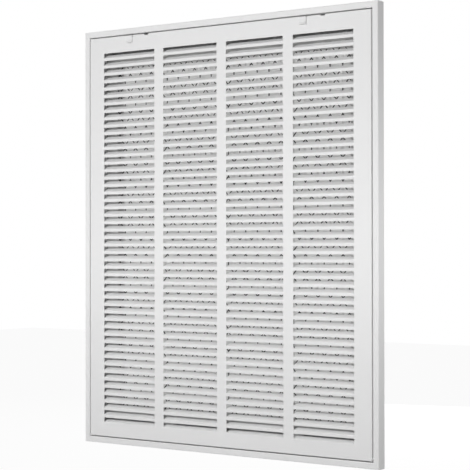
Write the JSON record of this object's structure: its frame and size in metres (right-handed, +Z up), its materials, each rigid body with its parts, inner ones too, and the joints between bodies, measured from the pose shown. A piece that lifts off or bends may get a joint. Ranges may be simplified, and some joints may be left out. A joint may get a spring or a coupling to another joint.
{
  "type": "return air filter grille",
  "caption": "Return air filter grille with a louvred door hinged along its bottom edge, two slide latches and a pleated filter behind it.",
  "frame": {"origin": "centre of the four wall screw holes, on the wall plane behind the frame's shelf", "axes": "+Z up, +X to the right of a person facing the grille, the louvred face looks along -Y and the duct lies along +Y"},
  "size_m": [0.574, 0.0416, 0.701],
  "materials": {
    "white_paint": "satin white powder coat",
    "plated_steel": "bright zinc plating",
    "cardboard": "plain white-faced board",
    "filter_cloth": "white pleated filter cloth",
    "dark_wire": "dull dark expanded wire"
  },
  "bodies": {
    "frame": {"rail_top": "white_paint", "rail_bottom": "white_paint", "rail_left": "white_paint", "rail_right": "white_paint", "corner_angle_top_left": "plated_steel", "corner_angle_top_right": "plated_steel", "corner_angle_bottom_left": "plated_steel", "corner_angle_bottom_right": "plated_steel", "corner_rivets": "plated_steel", "keeper_left": "plated_steel", "keeper_right": "plated_steel", "keeper_rivets": "plated_steel", "filter_board": "cardboard", "filter_media": "filter_cloth", "filter_net": "dark_wire"},
    "door": {"door_panel": "white_paint", "hinge_pin_left": "plated_steel", "hinge_pin_right": "plated_steel", "latch_studs_left": "plated_steel", "latch_studs_right": "plated_steel"},
    "latch_left": {"latch_left": "white_paint"},
    "latch_right": {"latch_right": "white_paint"}
  },
  "joints": [
    {"name": "door_hinge", "type": "hinge", "parent": "frame", "child": "door", "pos_m": [0, -0.0149, -0.3347], "axis": [1, 0, 0], "range_deg": [0, 110]},
    {"name": "latch_left_slide", "type": "slide", "parent": "door", "child": "latch_left", "axis": [1, 0, 0], "range_m": [0, 0.0087]},
    {"name": "latch_right_slide", "type": "slide", "parent": "door", "child": "latch_right", "axis": [1, 0, 0], "range_m": [0, 0.0087]}
  ]
}
